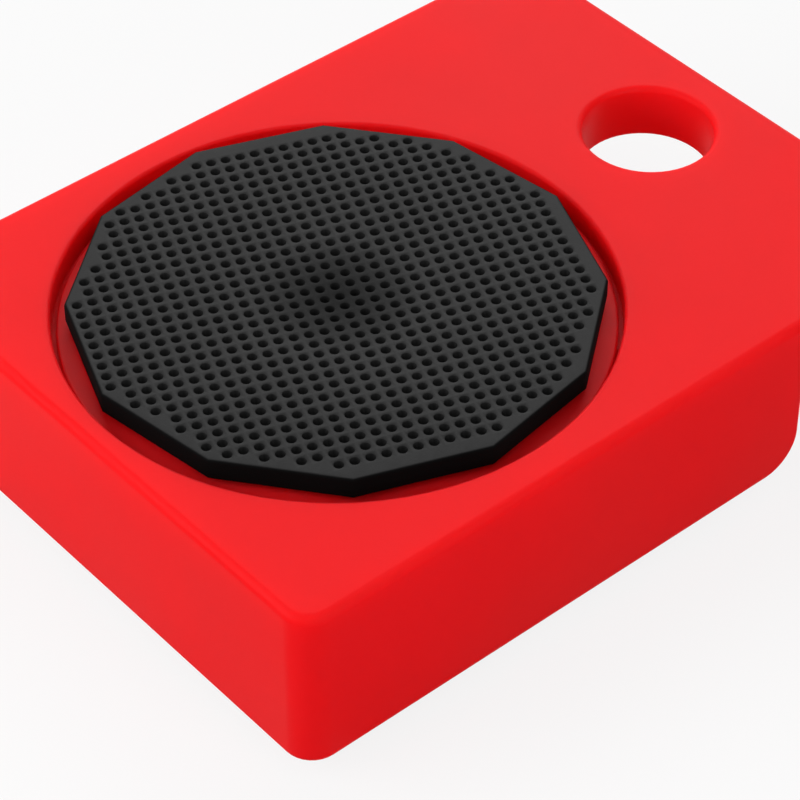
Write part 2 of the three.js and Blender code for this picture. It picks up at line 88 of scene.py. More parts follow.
def aim(holder, place, target):
    """Puts an object at a place, with its -Z axis towards the target and no roll."""
    holder.location = place
    holder.rotation_mode = "QUATERNION"
    holder.rotation_quaternion = (target - place).to_track_quat("-Z", "Y")
    scene.collection.objects.link(holder)
    return holder


lens = bpy.data.cameras.new("camera")
lens.lens = CAMERA_LENS
lens.sensor_width = SENSOR_WIDTH
scene.camera = aim(bpy.data.objects.new("camera", lens), CAMERA_PLACE, CAMERA_TARGET)
print("camera to target in mm:", round((CAMERA_TARGET - CAMERA_PLACE).length / MM, 1))

# %% [markdown]
# ## Shader maths as Python
# A finish is a small tree of nodes. Clicking them together is quick for one material, but hard to read
# later. One class that wraps an output socket lets the sums be written as sums: `1 - mask` adds a Math
# node, and `node` adds anything else, with its settings first and its sockets after.

# %% Wires between shader nodes
class Wire:
    """An output socket in a node tree. Sums of wires and numbers add Math nodes to that tree."""

    def __init__(self, tree, socket=None):
        self.tree = tree
        self.socket = socket

    def node(self, kind, settings=None, sockets=None, output=0):
        """Adds a node of a kind, sets its settings, fills its sockets and gives one output as a Wire."""
        made = self.tree.nodes.new(kind)
        for name, value in (settings or {}).items():
            if name == "stops":
                self.set_stops(made.color_ramp.elements, value)
            else:
                setattr(made, name, value)
        for name, value in (sockets or {}).items():
            if isinstance(value, Wire):
                self.tree.links.new(value.socket, made.inputs[name])
            else:
                made.inputs[name].default_value = value
        return Wire(self.tree, made.outputs[output] if made.outputs else None)

    @staticmethod
    def set_stops(elements, stops):
        """Gives a ramp its stops, each a place from 0 to 1 and a grey value."""
        while len(elements) < len(stops):
            elements.new(1.0)
        for element, (place, grey) in zip(elements, stops):
            element.position = place
            element.color = (grey, grey, grey, 1.0)

    def math(self, operation, first, second):
        """Adds a Math node that works on two wires or numbers."""
        return self.node("ShaderNodeMath", {"operation": operation}, {0: first, 1: second})

    def __add__(self, other):
        return self.math("ADD", self, other)

    def __radd__(self, other):
        return self.math("ADD", other, self)

    def __sub__(self, other):
        return self.math("SUBTRACT", self, other)

    def __rsub__(self, other):
        return self.math("SUBTRACT", other, self)

    def __mul__(self, other):
        return self.math("MULTIPLY", self, other)

    def __rmul__(self, other):
        return self.math("MULTIPLY", other, self)


def blend_colours(factor, first, second):
    """A colour that goes from first to second as the factor goes from 0 to 1."""
    sockets = {0: factor, 6: (*first, 1.0), 7: (*second, 1.0)}
    return factor.node("ShaderNodeMix", {"data_type": "RGBA"}, sockets, output=2)


def new_material(name, shader):
    """A material whose surface is what shader(start) returns."""
    material = bpy.data.materials.new(name)
    material.use_nodes = True
    material.node_tree.nodes.clear()
    start = Wire(material.node_tree)
    start.node("ShaderNodeOutputMaterial", None, {"Surface": shader(start)})
    print("material", name, "with", len(material.node_tree.nodes), "nodes")
    return material


# %% [markdown]
# ## Floor, backdrop and light
# The block stands on a pale floor in soft light. A white ground could be had by flooding the scene with
# light, but then the red would wash out. Instead the floor and the backdrop are plain white only where
# they are looked at, by the camera or in a gloss. The floor keeps a share of its matt ground there, which
# takes the shadow, and the soft light that it throws up fills the block's sides.

# %% Floor and world
FLOOR_HALF = 2.0
FLOOR_PALE = (0.7, 0.7, 0.7, 1.0)
FLOOR_WHITE_SHARE = 0.85
AMBIENT = (0.25, 0.25, 0.25, 1.0)
WHITE = (1.0, 1.0, 1.0, 1.0)
LOOKS = ("Is Camera Ray", "Is Glossy Ray", "Is Transmission Ray")


def looked_at(start):
    """1 for a ray from the camera, in a gloss or through something clear, and 0 for soft light."""
    camera, glossy, clear = [start.node("ShaderNodeLightPath", output=look) for look in LOOKS]
    return start.math("MAXIMUM", camera, start.math("MAXIMUM", glossy, clear))


def floor_shader(start):
    """A pale matt ground that is mostly white where it is looked at."""
    pale = start.node("ShaderNodeBsdfDiffuse", None, {"Color": FLOOR_PALE})
    white = start.node("ShaderNodeEmission", None, {"Color": WHITE, "Strength": 1.0})
    share = FLOOR_WHITE_SHARE * looked_at(start)
    return start.node("ShaderNodeMixShader", None, {0: share, 1: pale, 2: white})


def build_world():
    """White where it is looked at, and an even soft grey as light."""
    world = bpy.data.worlds.new("studio")
    world.use_nodes = True
    world.node_tree.nodes.clear()
    start = Wire(world.node_tree)
    light = start.node("ShaderNodeBackground", None, {"Color": AMBIENT, "Strength": 1.0})
    white = start.node("ShaderNodeBackground", None, {"Color": WHITE, "Strength": 1.0})
    both = start.node("ShaderNodeMixShader", None, {0: looked_at(start), 1: light, 2: white})
    start.node("ShaderNodeOutputWorld", None, {"Surface": both})
    return world


scene.world = build_world()
corners = FLOOR_HALF * np.array([(-1, -1, 0), (1, -1, 0), (1, 1, 0), (-1, 1, 0)])
ground = bpy.data.meshes.new("floor")
ground.from_pydata(corners.tolist(), [], [(0, 1, 2, 3)])
ground.materials.append(new_material("floor_white", floor_shader))
floor = bpy.data.objects.new("floor", ground)
scene.collection.objects.link(floor)
print("floor side in mm:", round(2 * FLOOR_HALF / MM))

# %% [markdown]
# ## Lamps
# Moulded plastic shows its form in soft light. A sun lamp would be simpler, but its hard shadow would hide
# the ring round the pad. Four square area lamps are used instead: a wide one behind lights the top, one
# beside the heel lights the end wall, and two weak ones in front fill the long wall and the ring.

# %% Lamps
LAMPS = {
    "back": {"place": (480, 560, 680), "size": 800, "watts": 6.5},
    "key": {"place": (-60, -250, 420), "size": 240, "watts": 0.3},
    "left": {"place": (-340, 140, 220), "size": 300, "watts": 1.22},
    "front": {"place": (-20, -400, 150), "size": 220, "watts": 0.52},
}
LAMP_TARGET = Vector((0.0, 0.0, 15 * MM))


def add_lamp(name, place, size, watts):
    """A square soft box at a place in mm, aimed at the block."""
    data = bpy.data.lights.new(name, "AREA")
    data.size = size * MM
    data.energy = watts
    return aim(bpy.data.objects.new(name, data), Vector(place) * MM, LAMP_TARGET)


for lamp_name, lamp in LAMPS.items():
    add_lamp(lamp_name, **lamp)
print("lamps:", ", ".join(f"{name} {lamp['watts']} W" for name, lamp in LAMPS.items()))

# %% [markdown]
# ## Finishes
# Every finish reads Object coordinates, which are metres in the frame, so its grain has a real size and
# turns with its piece. Each one is a base colour with slow drifts in it, a roughness that varies a
# little, and a fine relief that only the light shows.

# %% Helpers of the finishes
FINISHES = {}


def noise(start, per_metre, detail=2.0):
    """Soft noise from 0 to 1, with so many cells to a metre."""
    place = start.node("ShaderNodeTexCoord", output="Object")
    return start.node("ShaderNodeTexNoise", None, {"Vector": place, "Scale": per_metre, "Detail": detail})


def relief(height, depth, strength):
    """A normal that follows a height from 0 to 1, with depth in metres."""
    sockets = {"Height": height, "Distance": depth, "Strength": strength}
    return height.node("ShaderNodeBump", None, sockets)


def contrast(value, low, high):
    """Stretches a value so that low becomes 0 and high becomes 1."""
    return value.node("ShaderNodeValToRGB", {"stops": [(low, 0.0), (high, 1.0)]}, {"Fac": value})


# %% [markdown]
# ## Red moulding
# Housing, cover and disc are pressed from one red melt. A plain red with a gloss would do from afar, but
# its walls would look like painted metal. Plastic lets light in, so here light also scatters below the
# surface, which warms the narrow walls that no lamp reaches.

# %% Red moulding
RED_MELT = ((0.78, 0.0068, 0.009), (0.83, 0.0085, 0.0115))
RED_SHEEN = 0.036
RED_GRAIN = 0.012 * MM
SCATTER_REACH = 4.0 * MM
SCATTER_SHARES = (1.0, 0.15, 0.15)


def red_moulding_shader(start):
    """Satin red plastic: slow drifts of the melt, a spark-eroded grain and a thin even gloss. Light that
    enters it spreads for a few millimetres, red the furthest, and fills the walls of recess and hole."""
    drift = contrast(noise(start, 38.0, 3.0), 0.3, 0.7)
    grain = noise(start, 5200.0, 1.0)
    sockets = {
        "Base Color": blend_colours(drift, *RED_MELT),
        "Roughness": 0.36 + 0.1 * drift,
        "Specular IOR Level": RED_SHEEN,
        "Subsurface Weight": 1.0,
        "Subsurface Radius": SCATTER_SHARES,
        "Subsurface Scale": SCATTER_REACH,
        "Normal": relief(grain, RED_GRAIN, 0.35),
    }
    return start.node("ShaderNodeBsdfPrincipled", None, sockets)


FINISHES["red_plastic"] = new_material("red_moulding", red_moulding_shader)

# %% [markdown]
# ## Pad rubber
# The pad is soft black rubber, which looks grey only where it shines. One roughness for all of it would
# be flat, so two rubbers are mixed: one with a sheen, and one matt with a darker colour that is painted
# shade. A value stored on the mesh puts that matt, shaded rubber in the dimples, in part, and on the cut
# edge, and a mask round the pivot makes the middle duller.

# %% Pad rubber
RUBBER_TOP = ((0.0035, 0.0035, 0.0035), (0.007, 0.007, 0.007))
# The cut rubber is darker than the top as painted shade, for the dimples and the cut edge.
RUBBER_CUT_SHADED = ((0.0012, 0.0012, 0.0012), (0.0025, 0.0025, 0.0025))
RUBBER_TOP_SHEEN = 0.135
RUBBER_CUT_SHEEN = 0.036
RUBBER_GRAIN = 0.03 * MM
WORN_REACH = 10 * MM
SPIN = next(joint for joint in frame["joints"] if joint["name"] == "turntable_spin")
PIVOT = np.array(SPIN["pos_m"][:2])


def distance_from_pivot(start):
    """How far a point is from the disc's axis, in metres."""
    place = start.node("ShaderNodeTexCoord", output="Object")
    spread = start.node("ShaderNodeVectorMath", {"operation": "SUBTRACT"}, {0: place, 1: (*PIVOT, 0.0)})
    level = start.node("ShaderNodeVectorMath", {"operation": "MULTIPLY"}, {0: spread, 1: (1.0, 1.0, 0.0)})
    return start.node("ShaderNodeVectorMath", {"operation": "LENGTH"}, {0: level}, output="Value")


def pad_rubber_shader(start):
    """Black rubber, whose grey is mostly a broad sheen on a fine leathery grain. The middle, where feet
    have pressed and grit has rubbed, is duller. The dimples have less sheen and the cut edge has none,
    and both are given a darker colour as painted shade."""
    bloom = contrast(noise(start, 90.0, 4.0), 0.25, 0.75)
    grain = noise(start, 4200.0, 3.0)
    worn = 1 - contrast(distance_from_pivot(start) * (1 / WORN_REACH), 0.1, 1.0)
    bumps = relief(grain, RUBBER_GRAIN, 0.6)
    top = {
        "Base Color": blend_colours(bloom, *RUBBER_TOP),
        "Roughness": 0.5 + 0.12 * grain + 0.28 * worn,
        "Specular IOR Level": RUBBER_TOP_SHEEN,
        "Normal": bumps,
    }
    # The darker colour of the cut rubber is painted shade wherever the stored value mixes it in.
    cut = {
        "Base Color": blend_colours(bloom, *RUBBER_CUT_SHADED),
        "Roughness": 0.75 + 0.15 * grain,
        "Specular IOR Level": RUBBER_CUT_SHEEN,
        "Normal": bumps,
    }
    dull = start.node("ShaderNodeAttribute", {"attribute_name": "dull"}, output="Fac")
    sheen = start.node("ShaderNodeBsdfPrincipled", None, top)
    matt = start.node("ShaderNodeBsdfPrincipled", None, cut)
    return start.node("ShaderNodeMixShader", None, {0: dull, 1: sheen, 2: matt})


FINISHES["pad_rubber"] = new_material("pad_rubber", pad_rubber_shader)

# %% [markdown]
# ## Wheel nylon
# The wheels are moulded from dark nylon, which wears well and runs on a steel pin without oil. An image
# of scratches could be laid on them, but it would need its own unwrapped map. Noise with its upper part
# cut out gives scuffs of a real size instead.

# %% Wheel nylon
NYLON = ((0.012, 0.012, 0.014), (0.03, 0.03, 0.032))
NYLON_SHEEN = 0.45
NYLON_GRAIN = 0.01 * MM


def wheel_nylon_shader(start):
    """Dark satin nylon with faint scuffs."""
    scuff = contrast(noise(start, 700.0, 5.0), 0.52, 0.7)
    sockets = {
        "Base Color": blend_colours(scuff, *NYLON),
        "Roughness": 0.42 + 0.2 * scuff,
        "Specular IOR Level": NYLON_SHEEN,
        "Normal": relief(noise(start, 3600.0), NYLON_GRAIN, 0.4),
    }
    return start.node("ShaderNodeBsdfPrincipled", None, sockets)


FINISHES["wheel_nylon"] = new_material("wheel_nylon", wheel_nylon_shader)

# %% [markdown]
# ## Zinc plate
# Screws, washer and pins are steel under a thin coat of zinc. A mirror metal would look like chrome. Zinc
# is softer, so its roughness drifts in small clouds and a very fine relief breaks up the gloss.

# %% Zinc plate
ZINC = ((0.52, 0.54, 0.56), (0.68, 0.69, 0.7))
ZINC_GRAIN = 0.004 * MM


def zinc_plate_shader(start):
    """Bright zinc on steel: a cool grey metal whose gloss is clouded in small patches."""
    cloud = noise(start, 900.0, 4.0)
    sockets = {
        "Base Color": blend_colours(cloud, *ZINC),
        "Metallic": 1.0,
        "Roughness": 0.22 + 0.2 * cloud,
        "Normal": relief(noise(start, 5000.0), ZINC_GRAIN, 0.4),
    }
    return start.node("ShaderNodeBsdfPrincipled", None, sockets)


FINISHES["zinc_steel"] = new_material("zinc_plate", zinc_plate_shader)

# %% [markdown]
# ## Bond layer
# A thin film of contact glue holds the pad on the disc. Hardly any of it is ever seen, so two pale tones
# mixed by slow noise are enough, without any relief.

# %% Bond layer finish
GLUE = ((0.58, 0.54, 0.43), (0.72, 0.68, 0.57))


def bond_layer_shader(start):
    """Cured contact glue: a pale waxy film, a little streaked."""
    streak = noise(start, 260.0, 3.0)
    sockets = {"Base Color": blend_colours(streak, *GLUE), "Roughness": 0.5 + 0.2 * streak}
    return start.node("ShaderNodeBsdfPrincipled", None, sockets)


FINISHES["pad_glue"] = new_material("bond_layer", bond_layer_shader)

# %% [markdown]
# ## Surfaces from numpy
# A turned or moulded piece is a function on a grid: one parameter runs along a profile and the other
# round an axis. Modifiers such as Screw could turn a profile too, but worked out as whole arrays the
# surface can also carry a thread or a driver recess, and its size is exact.

# %% Grids and rounded profiles
ARC_STEPS = 6


def grid_faces(rows, columns):
    """Quads of a grid that is closed along its columns: each joins two rows and two columns."""
    row, column = np.meshgrid(np.arange(rows - 1), np.arange(columns), indexing="ij")
    after = (column + 1) % columns
    here = row * columns
    quads = (here + column, here + after, here + columns + after, here + columns + column)
    return np.stack(quads, axis=-1).reshape(-1, 4)


def rounded(corners, closed=False):
    """A profile of (radius, height) points from corners (radius, height, rounding): at each corner that
    has a rounding, an arc that touches both straight stretches takes the place of the point."""
    spots = np.array(corners, float)
    profile = []
    for index, (point, rounding) in enumerate(zip(spots[:, :2], spots[:, 2])):
        if rounding == 0 or (not closed and index in (0, len(spots) - 1)):
            profile.append(point[None])
            continue
        before = spots[index - 1, :2] - point
        after = spots[(index + 1) % len(spots), :2] - point
        before /= np.linalg.norm(before)
        after /= np.linalg.norm(after)
        half = math.acos(np.clip(before @ after, -1, 1)) / 2
        middle = (before + after) / np.linalg.norm(before + after)
        centre = point + middle * rounding / math.sin(half)
        start = point + before * rounding / math.tan(half) - centre
        stop = point + after * rounding / math.tan(half) - centre
        share = np.linspace(0, 1, ARC_STEPS + 1)[:, None]
        sweep = math.pi - 2 * half
        arc = np.sin((1 - share) * sweep) * start + np.sin(share * sweep) * stop
        profile.append(centre + arc / math.sin(sweep))
    line = np.concatenate(profile) * MM
    return np.concatenate([line, line[:1]]) if closed else line


# %% Turned surfaces
def turned(profile, centre, columns, axis="z"):
    """A surface of revolution: each profile point (radius, height) goes round the axis through centre."""
    angle = np.linspace(0, 2 * np.pi, columns, endpoint=False)
    across = profile[:, :1] * np.cos(angle)
    along = profile[:, :1] * np.sin(angle)
    height = np.broadcast_to(profile[:, 1:], across.shape)
    order = (across, along, height) if axis == "z" else (across, height, along)
    points = np.stack(order, axis=-1).reshape(-1, 3) + np.array(centre)
    return points, grid_faces(len(profile), columns)


# %% Pieces from points and faces
WELD = 1e-7


def new_piece(name, points, faces, body, slot, *nodes):
    """Puts points and faces into a smooth closed mesh that rides on a body and stands for CAD nodes."""
    mesh = bpy.data.meshes.new(name)
    mesh.from_pydata(points.tolist(), [], [list(face) for face in faces])
    work = bmesh.new()
    work.from_mesh(mesh)
    bmesh.ops.remove_doubles(work, verts=work.verts, dist=WELD)
    bmesh.ops.recalc_face_normals(work, faces=work.faces)
    work.to_mesh(mesh)
    work.free()
    return finish_piece(name, mesh, body, slot, *nodes)


def finish_piece(name, mesh, body, slot, *nodes):
    """Shades a mesh smooth, gives it its finish, and tells the frame what it rides on and replaces."""
    mesh.shade_smooth()
    mesh.materials.clear()
    mesh.materials.append(FINISHES[slot])
    piece = bpy.data.objects.new(name, mesh)
    scene.collection.objects.link(piece)
    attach(piece, body)
    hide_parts(*nodes)
    print("piece", name, "with", len(mesh.polygons), "faces")
    return piece


def keep_creases(piece, degrees):
    """Marks edges that bend more than an angle as sharp, so that smooth shading stops there."""
    piece.data.set_sharp_from_angle(angle=math.radians(degrees))


# %% Reading the frame
def body_of_node(node):
    """The body that carries a CAD node."""
    bodies = frame["record"]["behaviour"]["bodies"]
    return next(body for body, nodes in bodies.items() if node in nodes)


def mesh_points(mesh):
    """All vertices of a mesh as one array, a row of x, y and z for each."""
    points = np.empty(len(mesh.vertices) * 3, np.float32)
    mesh.vertices.foreach_get("co", points)
    return points.reshape(-1, 3).astype(float)


# %% [markdown]
# ## The dimpled pad
# The real pad is moulded: rows of blind round dimples in a flexible twelve-sided plate that sinks
# towards its middle. A bump map would fake the dimples, but they would look flat from the side. Here
# one lattice cell, a square round a hole, is repeated as an array, cut to the outline and given a rim.

# %% Pad outline, read from the frame
PAD_SIDES = 12
PAD_EDGE = 0.35 * MM
pad_low, pad_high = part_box("anti_slip_pad")
pad_spread = mesh_points(frame["nodes"]["anti_slip_pad"].data)[:, :2] - PIVOT
pad_reach = np.hypot(*pad_spread.T)
PAD_RADIUS = pad_reach.max()
PAD_APOTHEM = PAD_RADIUS * math.cos(math.pi / PAD_SIDES)
outermost = pad_spread[pad_reach.argmax()]
SIDE_ANGLE = 2 * math.pi / PAD_SIDES
PAD_TURN = (math.atan2(outermost[1], outermost[0]) + SIDE_ANGLE / 2) % SIDE_ANGLE - SIDE_ANGLE / 2
FLAT_ANGLES = PAD_TURN + (np.arange(PAD_SIDES) - 0.5) * SIDE_ANGLE
FLATS = np.stack([np.cos(FLAT_ANGLES), np.sin(FLAT_ANGLES)])
print("pad radius in mm:", round(PAD_RADIUS / MM, 2), "turn:", round(math.degrees(PAD_TURN), 2))

# %% [markdown]
# ### Lattice of dimples
# A cell has a square border, a soft lip and a tapered hole with a floor. An Array modifier with Boolean
# holes would be slow for so many, so all cells are one sum of cell and centres. A cell near the outline
# is left plain, which gives the pad its smooth border.

# %% Pad lattice
DIMPLE_PITCH = 1.85 * MM
DIMPLE_RADIUS = 0.59 * MM
DIMPLE_LIP = 0.07 * MM
DIMPLE_DEPTH = 1.0 * MM
DIMPLE_TAPER = 0.9
DIMPLE_MARGIN = 1.2 * MM
DIMPLE_POINTS = 12
LATTICE_SHIFT = np.array((0.32, 0.0)) * MM


def cell_rings():
    """Rings of one cell, from its square border down into the hole. The border has as many points as
    the hole has, evenly spaced along each side, so that neighbours share them."""
    per_side = DIMPLE_POINTS // 4
    step = np.arange(DIMPLE_POINTS)
    angle = 2 * np.pi * (step + 0.5 * per_side) / DIMPLE_POINTS
    side, along = np.divmod(step, per_side)
    slide = 0.5 - along / per_side
    quarter = np.pi / 2 * (side + 1)
    across = 0.5 * np.cos(quarter) + slide * np.sin(quarter)
    upward = 0.5 * np.sin(quarter) - slide * np.cos(quarter)
    square = np.stack([across, upward], -1)
    circle = np.stack([np.cos(angle), np.sin(angle)], -1)
    radii = DIMPLE_RADIUS * np.array([1 + DIMPLE_LIP / DIMPLE_RADIUS, 1, DIMPLE_TAPER])
    flat = np.concatenate([square[None] * DIMPLE_PITCH, circle * radii[:, None, None]])
    depth = np.array([0, 0, DIMPLE_LIP, DIMPLE_DEPTH])
    heights = np.broadcast_to(-depth[:, None, None], (*flat.shape[:2], 1))
    return np.concatenate([flat, heights], -1)


def lattice_centres():
    """Centres of all cells that touch the pad, and which of them hold a dimple."""
    reach = int(PAD_RADIUS / DIMPLE_PITCH) + 2
    index = np.stack(np.meshgrid(*[np.arange(-reach, reach + 1)] * 2), -1).reshape(-1, 2)
    local = index * DIMPLE_PITCH + LATTICE_SHIFT
    turn = FLAT_ANGLES[0]
    spin = np.array([[math.cos(turn), math.sin(turn)], [-math.sin(turn), math.cos(turn)]])
    centres = local @ spin
    outward = (centres @ FLATS).max(1)
    near = outward < PAD_APOTHEM + DIMPLE_PITCH
    return centres[near], outward[near] < PAD_APOTHEM - DIMPLE_MARGIN, spin


def lattice_sheet():
    """All cells as one mesh: three rings of quads and a floor for a dimple, one flat face for the rest."""
    rings = cell_rings()
    centres, holed, spin = lattice_centres()
    rings[..., :2] = rings[..., :2] @ spin
    holes = rings.reshape(-1, 3) + np.pad(centres[holed], ((0, 0), (0, 1)))[:, None]
    plain = rings[0] + np.pad(centres[~holed], ((0, 0), (0, 1)))[:, None]
    first = np.arange(len(holes))[:, None, None] * len(rings) * DIMPLE_POINTS
    quads = (first + grid_faces(len(rings), DIMPLE_POINTS)).reshape(-1, 4)
    floors = first[:, 0] + (len(rings) - 1) * DIMPLE_POINTS + np.arange(DIMPLE_POINTS)
    covers = holes.size // 3 + np.arange(plain.size // 3).reshape(-1, DIMPLE_POINTS)
    points = np.concatenate([holes.reshape(-1, 3), plain.reshape(-1, 3)])
    print("dimples:", len(holes))
    return points, [*quads.tolist(), *floors.tolist(), *covers.tolist()]


# %% [markdown]
# ### Cutting the sheet and closing the pad
# A real pad gets its outline from the mould or from a die. Here the sheet of cells is cut along each of
# the twelve flats by bisecting it, and its border is carried out and down in rings: a rounded edge, the
# wall, a second rounded edge and the base. The rings share the border's points, so the pad is one closed
# skin.

# %% Pad sheet cut to its outline
CELL_WELD = 0.001 * MM


def cut_to_outline(points, faces, apothem):
    """Joins the cells along their borders and cuts the sheet along the twelve flats."""
    mesh = bpy.data.meshes.new("pad_sheet")
    mesh.from_pydata(points.tolist(), [], faces)
    work = bmesh.new()
    work.from_mesh(mesh)
    bmesh.ops.remove_doubles(work, verts=work.verts, dist=CELL_WELD)
    for flat in FLATS.T:
        normal = Vector((*flat, 0.0))
        everything = [*work.verts, *work.edges, *work.faces]
        bmesh.ops.bisect_plane(
            work, geom=everything, dist=WELD, plane_co=normal * apothem, plane_no=normal, clear_outer=True
        )
    work.to_mesh(mesh)
    work.free()
    spots = mesh_points(mesh)
    polygons = [list(polygon.vertices) for polygon in mesh.polygons]
    bpy.data.meshes.remove(mesh)
    return spots, polygons


sheet_points, sheet_faces = cut_to_outline(*lattice_sheet(), PAD_APOTHEM - PAD_EDGE)
print("pad sheet:", len(sheet_points), "points and", len(sheet_faces), "faces")

# %% Dish and rim of the pad
PAD_LEVEL_RIM = 3.6 * MM
DISH_DEPTH = 0.9 * MM
DISH_RADIUS = PAD_APOTHEM - PAD_LEVEL_RIM
DISH_POWER = 1.35


def dish(spread):
    """How far the pad has sunk: level outside a radius, steeper towards the middle."""
    out = np.clip(np.hypot(*spread.T) / DISH_RADIUS, 0, 1)
    return DISH_DEPTH * (1 - out) ** DISH_POWER


def pad_rim(border):
    """The border carried out and down: a rounded upper edge, the wall, a rounded lower edge and a base.
    Every ring is the border scaled about the pivot, since all the outlines are alike."""
    quarter = np.linspace(0, np.pi / 2, ARC_STEPS)
    out = np.concatenate([np.sin(quarter), np.cos(quarter)]) * PAD_EDGE - PAD_EDGE
    thickness = pad_high.z - pad_low.z
    upper = (np.cos(quarter) - 1) * PAD_EDGE
    lower = (1 - np.sin(quarter)) * PAD_EDGE - thickness
    scale = (PAD_APOTHEM + out) / (PAD_APOTHEM - PAD_EDGE)
    rings = border[None] * scale[:, None, None]
    heights = np.broadcast_to(np.concatenate([upper, lower])[:, None, None], (*rings.shape[:2], 1))
    return np.concatenate([rings, heights], -1)


# %% Pad put together
on_border = (sheet_points[:, :2] @ FLATS).max(1) > PAD_APOTHEM - PAD_EDGE - WELD
border = sheet_points[on_border, :2]
border = border[np.argsort(np.arctan2(border[:, 1], border[:, 0]))]
sheet_points[:, 2] -= dish(sheet_points[:, :2])
rim = pad_rim(border)
rim_faces = grid_faces(*rim.shape[:2]) + len(sheet_points)
base_face = len(sheet_points) + (len(rim) - 1) * len(border) + np.arange(len(border))
pad_points = np.concatenate([sheet_points, rim.reshape(-1, 3)]) + np.array([*PIVOT, pad_high.z])
pad_faces = [*sheet_faces, *rim_faces.tolist(), base_face.tolist()]
pad = new_piece("pad_dimpled", pad_points, pad_faces, "turntable", "pad_rubber", "anti_slip_pad")

# %% [markdown]
# ### Where the sheen stops
# Only the pad's top has been rubbed to a sheen. A second material on chosen faces would end it with a hard
# line, so each point stores how dull it is instead: nothing on top, some of it down in a dimple, and all of
# it on the cut edge. The rubber's shader mixes by that value into the matt rubber, whose darker colour is
# painted shade there.

# %% Dullness and painted shade stored on the pad
# The dimples take this share of the matt rubber and of its painted shade.
DIMPLE_MATT_AND_SHADE = 0.4


def depth_below_top(spots):
    """How deep each point lies below the pad's dished top."""
    return pad_high.z - dish(spots[:, :2] - PIVOT) - spots[:, 2]


spots = mesh_points(pad.data)
sunk = np.clip(depth_below_top(spots) / DIMPLE_LIP, 0, 1)
inside = ((spots[:, :2] - PIVOT) @ FLATS).max(1) < PAD_APOTHEM - PAD_EDGE - WELD
# 1 on the cut edge and a part of it in the dimples: less sheen, and a darker colour that is painted shade.
dull = pad.data.attributes.new("dull", "FLOAT", "POINT")
dull.data.foreach_set("value", (sunk * np.where(inside, DIMPLE_MATT_AND_SHADE, 1.0)).astype(np.float32))
print("points in dimples:", int((inside & (sunk > 0.5)).sum()), "of", len(spots))

# %% [markdown]
# ## The turning disc
# Only the disc's flange shows, as a dull ring between pad and recess, but it is one moulding with a
# plateau under the pad, a thin lip over the recess ledge, a sliding track below and a hub. One profile,
# turned, gives all of it.

# %% Turning disc
DISC_COLUMNS = 160
disc_low, disc_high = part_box("turntable_disc")
disc_top = disc_high.z / MM
disc_radius = (disc_high.x - disc_low.x) / 2 / MM
PLATEAU_HEIGHT = 0.5
PLATEAU_EDGE = 0.2
FLANGE_THICKNESS = 1.9
PAD_OVERHANG = 3.0
PLATEAU_RADIUS = PAD_APOTHEM / MM - PAD_OVERHANG
TRACK_HEIGHT = 0.4
TRACK_INSET = 2.5
TRACK_WIDTH = 5.0
LIP_WIDTH = 1.9
LIP_THICKNESS = 0.7
HUB_RADIUS = 6.0
HUB_BORE = 2.3
HUB_ROOF = 1.6
SOFT_EDGE = 0.35
SHARP_EDGE = 0.1
flange_top = disc_top - PLATEAU_HEIGHT
flange_low = flange_top - FLANGE_THICKNESS
lip_root = disc_radius - LIP_WIDTH
lip_low = flange_top - LIP_THICKNESS
track_out = disc_radius - TRACK_INSET
track_in = track_out - TRACK_WIDTH
track_low = flange_low - TRACK_HEIGHT
hub_low = disc_low.z / MM
disc_profile = rounded([
    (0, disc_top, 0),
    (PLATEAU_RADIUS, disc_top, PLATEAU_EDGE),
    (PLATEAU_RADIUS, flange_top, PLATEAU_EDGE),
    (disc_radius, flange_top, SOFT_EDGE),
    (disc_radius, lip_low, SHARP_EDGE),
    (lip_root, lip_low, SHARP_EDGE),
    (lip_root, flange_low, SHARP_EDGE),
    (track_out, flange_low, SHARP_EDGE),
    (track_out, track_low, SHARP_EDGE),
    (track_in, track_low, SHARP_EDGE),
    (track_in, flange_low, SHARP_EDGE),
    (HUB_RADIUS, flange_low, SOFT_EDGE),
    (HUB_RADIUS, hub_low, SOFT_EDGE),
    (HUB_BORE, hub_low, SHARP_EDGE),
    (HUB_BORE, disc_top - HUB_ROOF, SHARP_EDGE),
    (0, disc_top - HUB_ROOF, 0),
])
disc = turned(disc_profile, (*PIVOT, 0), DISC_COLUMNS)
new_piece("disc_turned", *disc, "turntable", "red_plastic", "turntable_disc")

# %% [markdown]
# ## Housing and base cover
# Both mouldings have many ribs, seats and windows, which the frame already holds exactly. Building them
# again would add nothing, so a copy of each is welded and its flat stretches are joined into single faces.
# The housing's outer lower edges and the cover's creases then get the small radius that a mould leaves,
# and weighted normals keep flats flat.

# %% Copies with joined faces and softened creases
WELD_COPY = 0.002 * MM
FLAT_DEGREES = 0.5
CREASE_DEGREES = 40
EDGE_SEGMENTS = 3


def joined_copy(node):
    """A copy of a CAD node's mesh with shared corners welded and coplanar faces joined."""
    mesh = frame["nodes"][node].data.copy()
    work = bmesh.new()
    work.from_mesh(mesh)
    bmesh.ops.remove_doubles(work, verts=work.verts, dist=WELD_COPY)
    flat = math.radians(FLAT_DEGREES)
    bmesh.ops.dissolve_limit(work, angle_limit=flat, verts=work.verts, edges=work.edges)
    work.to_mesh(mesh)
    work.free()
    return mesh


def soften(piece, width):
    """A bevel on the creases that carry a weight, then normals weighted by face area."""
    bevel = piece.modifiers.new("mould_radius", "BEVEL")
    bevel.limit_method = "WEIGHT"
    bevel.width = width
    bevel.segments = EDGE_SEGMENTS
    bevel.use_clamp_overlap = False
    normals = piece.modifiers.new("flat_faces", "WEIGHTED_NORMAL")
    normals.keep_sharp = True


